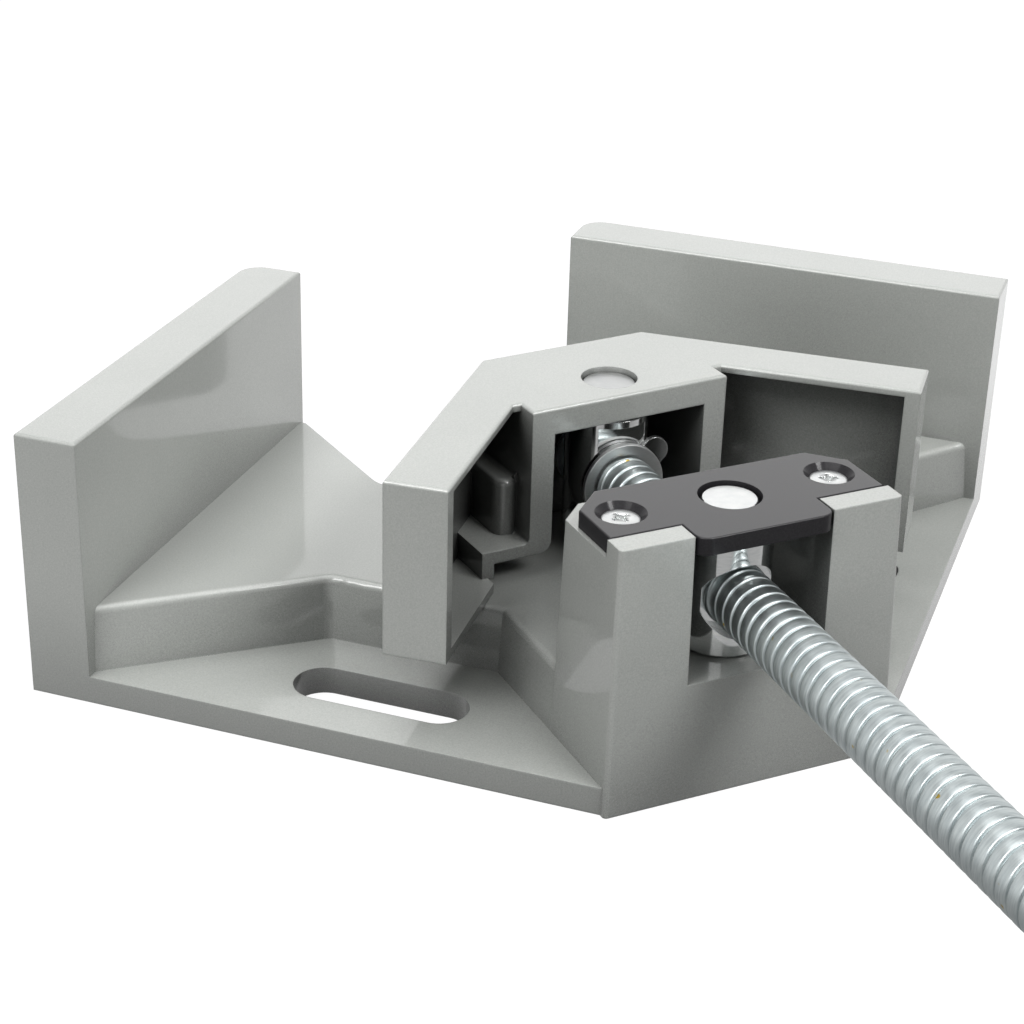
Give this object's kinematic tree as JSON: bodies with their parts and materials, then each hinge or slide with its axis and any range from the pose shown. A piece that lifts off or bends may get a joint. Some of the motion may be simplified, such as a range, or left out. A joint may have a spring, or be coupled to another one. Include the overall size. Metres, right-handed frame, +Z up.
{
  "type": "corner clamp",
  "caption": "Single-spindle corner clamp: a cast base with two fences at a right angle, a swivelling jaw on a screw, and a moulded handle.",
  "frame": {"origin": "on the underside, directly below the vertical axis of the swivel nut", "axes": "+Z up, +Y from the handle towards the open corner along the base's plane of symmetry, +X to the right"},
  "size_m": [0.2178, 0.3541, 0.0533],
  "materials": {
    "casting": "light grey powder coat, fine metallic grain",
    "cover": "black, satin top",
    "zinc": "zinc-plated, bluish",
    "bright": "bright plated",
    "handle_hard": "fine satin",
    "handle_soft": "matt soft grip"
  },
  "bodies": {
    "base": {"base_casting": "casting", "cover_plate": "cover", "cover_screws": "zinc"},
    "nut": {"swivel_nut": "bright"},
    "carrier": {"trunnion": "bright", "thrust_washer": "bright", "rear_washer": "zinc"},
    "screw": {"spindle": "zinc", "plain_washer": "bright", "retaining_ring": "zinc", "handle_core": "handle_hard", "handle_grip": "handle_soft", "handle_end_cap": "handle_hard", "handle_pin": "zinc"},
    "jaw": {"jaw_casting": "casting"}
  },
  "joints": [
    {"name": "nut_swivel", "type": "hinge", "parent": "base", "child": "nut", "pos_m": [0, 0, 0.0344], "axis": [0, 0, 1], "range_deg": [-3, 8.8]},
    {"name": "jaw_feed", "type": "slide", "parent": "nut", "child": "carrier", "axis": [0.0506, 0.9987, 0], "range_m": [-0.022, 0.058]},
    {"name": "spindle_spin", "type": "hinge", "parent": "carrier", "child": "screw", "pos_m": [0.00258, 0.05083, 0.0344], "axis": [0.0506, 0.9987, 0], "range_deg": [-2641, 6961]},
    {"name": "jaw_swivel", "type": "hinge", "parent": "carrier", "child": "jaw", "pos_m": [0.00258, 0.05083, 0.0344], "axis": [0, 0, 1], "range_deg": [-14.1, 1.9]}
  ],
  "couplings": [
    {"joint": "spindle_spin", "follows": "jaw_feed", "rad_per_m": 2094.4}
  ]
}
